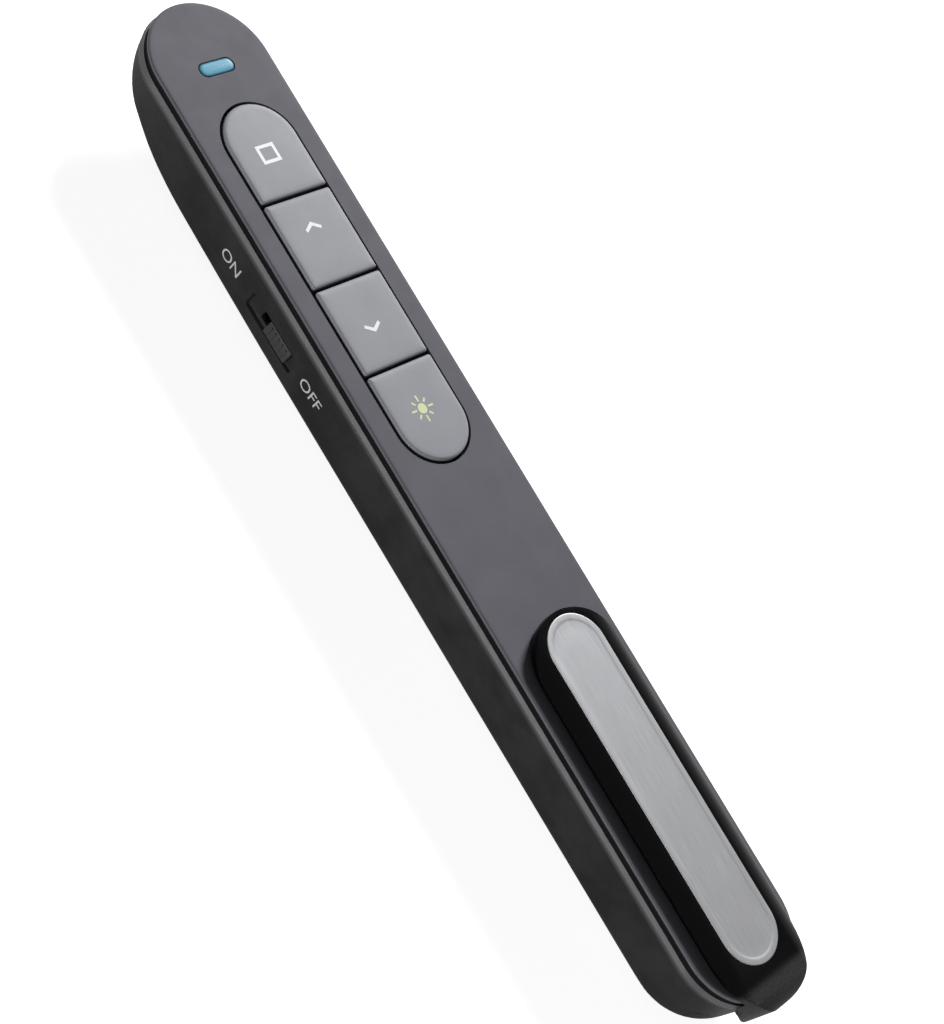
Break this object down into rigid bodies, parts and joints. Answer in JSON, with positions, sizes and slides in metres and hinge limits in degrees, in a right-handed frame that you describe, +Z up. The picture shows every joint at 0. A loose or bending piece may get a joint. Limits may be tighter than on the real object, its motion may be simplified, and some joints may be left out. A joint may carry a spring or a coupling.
{
  "type": "wireless presentation clicker",
  "caption": "Slim hand-held presentation remote with a button strip, a power slider, a battery door, a stowed receiver and a sprung pocket clip.",
  "frame": {"origin": "middle of the overall length and width, on the flat underside", "axes": "+X from the laser nose to the tail, +Z up through the buttons, -Y is the power slider's side"},
  "size_m": [0.16, 0.0206, 0.0154],
  "materials": {
    "cover_plastic": "fine matte moulding",
    "band_plastic": "satin moulding",
    "shell_plastic": "fine matte moulding",
    "window_plastic": "clear tinted",
    "button_plastic": "satin",
    "knob_plastic": "ribbed",
    "lever_plastic": "moulded",
    "switch_metal": "stamped",
    "clip_plastic": "high gloss",
    "insert_metal": "fine brushed satin",
    "screw_steel": "zinc plated",
    "board": "solder mask",
    "lamp": "moulded clear",
    "chip_plastic": "moulded",
    "can_metal": "drawn can",
    "ceramic": "fired ceramic",
    "barrel_brass": "turned",
    "lens_glass": "clear",
    "bezel_chrome": "polished",
    "door_plastic": "fine matte moulding",
    "cell_can": "printed sleeve",
    "contact_steel": "nickel plated",
    "cap_plastic": "fine matte moulding",
    "plug_steel": "nickel plated",
    "tongue_plastic": "moulded",
    "magnet": "nickel plated"
  },
  "bodies": {
    "housing": {"top_cover": "cover_plastic", "trim_band": "band_plastic", "bottom_shell": "shell_plastic", "indicator_window": "window_plastic", "slide_switch": "switch_metal", "clip_screw": "screw_steel", "main_pcb": "board", "tact_switches": "switch_metal", "indicator_led": "lamp", "radio_chip": "chip_plastic", "crystal": "can_metal", "chip_parts": "ceramic", "laser_barrel": "barrel_brass", "laser_diode": "can_metal", "laser_lens": "lens_glass", "laser_bezel": "bezel_chrome", "battery_cell": "cell_can", "contact_positive": "contact_steel", "contact_negative": "contact_steel", "contact_spring": "contact_steel", "receiver_magnet": "magnet", "case_screws": "screw_steel"},
    "blank_key": {"button_blank": "button_plastic", "stem_blank": "lever_plastic"},
    "page_up_key": {"button_page_up": "button_plastic", "stem_page_up": "lever_plastic"},
    "page_down_key": {"button_page_down": "button_plastic", "stem_page_down": "lever_plastic"},
    "laser_key": {"button_laser": "button_plastic", "stem_laser": "lever_plastic"},
    "power_slider": {"switch_knob": "knob_plastic", "switch_lever": "lever_plastic"},
    "door": {"battery_door": "door_plastic"},
    "receiver": {"receiver_cap": "cap_plastic", "receiver_plug": "plug_steel", "receiver_tongue": "tongue_plastic"},
    "pocket_clip": {"clip": "clip_plastic", "clip_insert": "insert_metal"}
  },
  "joints": [
    {"name": "press_blank", "type": "slide", "parent": "housing", "child": "blank_key", "axis": [0, 0, -1], "range_m": [0, 0.0003], "stiffness_N_per_m": 1500, "springref_m": -0.0003},
    {"name": "press_page_up", "type": "slide", "parent": "housing", "child": "page_up_key", "axis": [0, 0, -1], "range_m": [0, 0.0003], "stiffness_N_per_m": 1500, "springref_m": -0.0003},
    {"name": "press_page_down", "type": "slide", "parent": "housing", "child": "page_down_key", "axis": [0, 0, -1], "range_m": [0, 0.0003], "stiffness_N_per_m": 1500, "springref_m": -0.0003},
    {"name": "press_laser", "type": "slide", "parent": "housing", "child": "laser_key", "axis": [0, 0, -1], "range_m": [0, 0.0003], "stiffness_N_per_m": 1500, "springref_m": -0.0003},
    {"name": "power_slide", "type": "slide", "parent": "housing", "child": "power_slider", "axis": [-1, 0, 0], "range_m": [0, 0.003]},
    {"name": "door_slide", "type": "slide", "parent": "housing", "child": "door", "axis": [1, 0, 0], "range_m": [0, 0.05]},
    {"name": "receiver_lift", "type": "slide", "parent": "housing", "child": "receiver", "axis": [0, 0, -1], "range_m": [0, 0.012]},
    {"name": "clip_flex", "type": "hinge", "parent": "housing", "child": "pocket_clip", "pos_m": [0.079, 0, 0.0088], "axis": [0, 1, 0], "range_deg": [0, 2.2], "stiffness_Nm_per_rad": 3, "springref_deg": -0.57}
  ]
}
